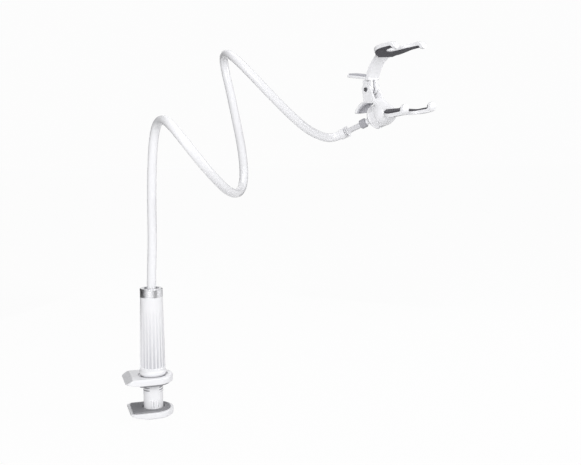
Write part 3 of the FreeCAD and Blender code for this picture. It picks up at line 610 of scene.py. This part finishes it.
# Claw liners.
# Dark rubber moulded into the claws where the edges of what they hold rest, with low ribs on each finger.
socket_tilt = np.radians(13.0)
pivot_back = -0.0035
pivot_up = 0.0345
held_middle_up = 0.0365
clip_along = -np.array(joints["claw_open"]["axis"])
socket_axis = np.array(joints["clip_spin"]["axis"])
socket_normal = np.cross(clip_along, socket_axis)
clip_back = np.cos(socket_tilt) * socket_axis + np.sin(socket_tilt) * socket_normal
clip_up = np.cos(socket_tilt) * socket_normal - np.sin(socket_tilt) * socket_axis
clip_origin = np.array(joints["claw_open"]["pos_m"]) - clip_back * pivot_back - clip_up * pivot_up


def turned_to_clip(along, back, up):
    """Arrays of clip distances as row-frame vectors."""
    along, back, up = np.broadcast_arrays(along, back, up)
    return along[..., None] * clip_along + back[..., None] * clip_back + up[..., None] * clip_up


def clip_ribs(name, half_length, middle, back, up, out_back, out_up, finish, body):
    """Ribs along the clip's width at the given places, standing out in the given direction."""
    starts = clip_origin + turned_to_clip(middle - half_length, back, up)
    ends = clip_origin + turned_to_clip(middle + half_length, back, up)
    lines = straight(starts, ends)
    out = np.broadcast_to(turned_to_clip(0.0, out_back, out_up)[:, None], lines.shape)
    piece = raised_lines(name, lines, out, rib_half_width, rib_height)
    piece.data.materials.append(finish.material)
    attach(piece, body)
    return piece


liner_rubber = rubber("liner_rubber", (0.045, 0.043, 0.05), (0.08, 0.078, 0.09))
liner_rubber.paint("lower_claw_pad", "upper_claw_pad")
liner_floor = 0.00225
finger_middle = 0.02675
ribs_per_finger = 7
first_rib_back = -0.058
last_rib_back = -0.046
liner_rib_half_length = 0.004
rib_back = np.tile(np.linspace(first_rib_back, last_rib_back, ribs_per_finger), 2)
rib_middle = np.repeat([-finger_middle, finger_middle], ribs_per_finger)
for claw, floor_up, facing, body in (
    ("lower", liner_floor, 1.0, "clip_base"),
    ("upper", 2 * held_middle_up - liner_floor, -1.0, "clip_top"),
):
    up = np.full_like(rib_back, floor_up)
    liner = clip_ribs(
        claw + "_liner_ribs", liner_rib_half_length, rib_middle, rib_back, up,
        np.zeros_like(up), np.full_like(up, facing), liner_rubber, body,
    )


# Lever grips.
# Grey rubber inserts where finger and thumb press, ribbed across the lever.
grip_rubber = rubber("grip_rubber", (0.4, 0.4, 0.43), (0.5, 0.5, 0.53))
grip_rubber.paint("lower_lever_grip", "upper_lever_grip")
grip_half_length = 0.0074
grip_rib_count = 13
arc_back = -0.003
arc_up = -0.0025
arc_radius = 0.0205
arc_first_angle = 86.0
arc_last_angle = 37.0
arc_angle = np.radians(np.linspace(arc_first_angle, arc_last_angle, grip_rib_count))
lower_grip = clip_ribs(
    "lower_grip_ribs", grip_half_length, np.zeros_like(arc_angle),
    arc_back + arc_radius * np.cos(arc_angle), arc_up + arc_radius * np.sin(arc_angle),
    -np.cos(arc_angle), -np.sin(arc_angle), grip_rubber, "clip_base",
)
blade_root_back = -0.01
blade_root_up = 0.0472
blade_tip_back = 0.021
blade_tip_up = 0.0559
blade_first_rib = -0.0015
blade_last_rib = 0.018
grip_thickness = 0.0018
blade_back = np.linspace(blade_first_rib, blade_last_rib, grip_rib_count)
blade_slope = (blade_tip_up - blade_root_up) / (blade_tip_back - blade_root_back)
blade_up = blade_root_up + blade_slope * (blade_back - blade_root_back) + grip_thickness
blade_tilt = np.full_like(blade_back, np.arctan(blade_slope))
upper_grip = clip_ribs(
    "upper_grip_ribs", grip_half_length, np.zeros_like(blade_back), blade_back, blade_up,
    -np.sin(blade_tilt), np.cos(blade_tilt), grip_rubber, "clip_top",
)


# Pin, retainer and spring.
# Steel pin through the four ears, a push-on disc on its end and a wound spring round it.
brushed("dark_steel", (0.3, 0.3, 0.32), (0.4, 0.4, 0.42)).paint("pivot_pin", "pin_retainer")
steel.paint("torsion_spring")


# Floor, light and camera.
# A pale floor under the foot, soft boxes, dark cards that shade one side and that the metal mirrors,
# and a white background.
view_heading = np.radians(-18.0)
camera_aside = 0.156
camera_distance = 0.89
camera_height = 0.3
camera_fall = 0.1139
middle_aside = 0.12
middle_height = 0.2
camera_right = Vector((np.cos(view_heading), np.sin(view_heading), 0.0))
toward_camera = Vector((np.sin(view_heading), -np.cos(view_heading), 0.0))
upright = Vector((0.0, 0.0, 1.0))
camera_place = camera_right * camera_aside + toward_camera * camera_distance + upright * camera_height
camera_heading = -toward_camera - upright * camera_fall
object_middle = camera_right * middle_aside + upright * middle_height


def flat_stage(name, corners, material):
    """A flat four-cornered piece of the studio."""
    mesh = bpy.data.meshes.new(name)
    mesh.from_pydata([tuple(corner) for corner in corners], [], [(0, 1, 2, 3)])
    mesh.materials.append(material)
    piece = bpy.data.objects.new(name, mesh)
    bpy.context.collection.objects.link(piece)
    return piece


def seen_directly(tree):
    """1 for rays from the camera and for those that metal or glass sends on."""
    path = tree.nodes.new("ShaderNodeLightPath")
    rays = ("Is Camera Ray", "Is Glossy Ray", "Is Transmission Ray")
    camera_ray, glossy_ray, clear_ray = (Tone(path.outputs[name]) for name in rays)
    return camera_ray + glossy_ray + clear_ray


def mixed(share, plain, other, output):
    """Sends a mix of two shader nodes to the output."""
    tree = share.socket.id_data
    blend = tree.nodes.new("ShaderNodeMixShader")
    tree.links.new(share.socket, blend.inputs[0])
    tree.links.new(plain.outputs[0], blend.inputs[1])
    tree.links.new(other.outputs[0], blend.inputs[2])
    tree.links.new(blend.outputs[0], tree.nodes.new("ShaderNode" + output).inputs["Surface"])


floor_paint = bpy.data.materials.new("floor_paint")
floor_paint.use_nodes = True
tree = floor_paint.node_tree
tree.nodes.clear()
matt = tree.nodes.new("ShaderNodeBsdfDiffuse")
matt.inputs["Color"].default_value = (0.7, 0.7, 0.7, 1.0)
glow = tree.nodes.new("ShaderNodeEmission")
glow.inputs["Strength"].default_value = 1.0
glow_share = 0.965
mixed(seen_directly(tree) * glow_share, matt, glow, "OutputMaterial")
floor_half = 8.0
floor_level = float(cad_box[0][2])
floor_sides = ((-1, -1), (1, -1), (1, 1), (-1, 1))
flat_stage("floor", [(x * floor_half, y * floor_half, floor_level) for x, y in floor_sides], floor_paint)

world = bpy.data.worlds.new("studio")
bpy.context.scene.world = world
world.use_nodes = True
tree = world.node_tree
tree.nodes.clear()
ambient = tree.nodes.new("ShaderNodeBackground")
ambient.inputs["Color"].default_value = (0.97, 0.97, 1.0, 1.0)
ambient.inputs["Strength"].default_value = 0.34
white = tree.nodes.new("ShaderNodeBackground")
white.inputs["Color"].default_value = (1.0, 1.0, 1.0, 1.0)
white.inputs["Strength"].default_value = 0.977
mixed(seen_directly(tree), ambient, white, "OutputWorld")

card_black = bpy.data.materials.new("card_black")
card_black.use_nodes = True
card_shader = next(n for n in card_black.node_tree.nodes if n.type == "BSDF_PRINCIPLED")
card_shader.inputs["Base Color"].default_value = (0.03, 0.03, 0.03, 1.0)
card_shader.inputs["Roughness"].default_value = 0.9


def around(bearing, distance):
    """The way to a point at this bearing from the camera's side, counted to the camera's right."""
    turn = np.radians(bearing)
    return (toward_camera * np.cos(turn) + camera_right * np.sin(turn)) * distance


def dark_card(name, bearing, distance, width):
    """An upright card that faces the column. The camera doesn't see it; it shades the object and shows in
    its reflections."""
    top = 0.9
    middle = around(bearing, distance)
    half = around(bearing + 90.0, width / 2)
    corners = [middle - half, middle + half, middle + half + upright * top, middle - half + upright * top]
    card = flat_stage(name, corners, card_black)
    card.visible_camera = False


dark_card("left_card", bearing=-105.0, distance=0.45, width=1.2)
dark_card("right_card", bearing=51.0, distance=0.7, width=0.4)
dark_card("far_card", bearing=155.0, distance=0.7, width=0.3)


def soft_box(name, bearing, distance, height, size, power):
    """A square area lamp, placed from the object's middle and turned to it."""
    place = around(bearing, distance) + upright * height
    lamp = bpy.data.lights.new(name, "AREA")
    lamp.shape = "SQUARE"
    lamp.size = size
    lamp.energy = power
    stand = bpy.data.objects.new(name, lamp)
    stand.location = object_middle + place
    stand.rotation_euler = (-place).to_track_quat("-Z", "Y").to_euler()
    bpy.context.collection.objects.link(stand)


soft_box("front_box", bearing=-10.0, distance=1.5, height=0.5, size=1.0, power=19.0)
soft_box("rim_box", bearing=90.0, distance=1.1, height=0.35, size=0.5, power=6.0)
soft_box("top_box", bearing=180.0, distance=0.3, height=1.2, size=0.8, power=5.0)

camera = bpy.data.cameras.new("camera")
camera.lens = 49.94
camera.sensor_width = 36.0
camera.sensor_fit = "HORIZONTAL"
stand = bpy.data.objects.new("camera", camera)
stand.location = camera_place
stand.rotation_euler = camera_heading.to_track_quat("-Z", "Y").to_euler()
bpy.context.collection.objects.link(stand)
bpy.context.scene.camera = stand
bpy.context.scene.view_settings.view_transform = "Standard"
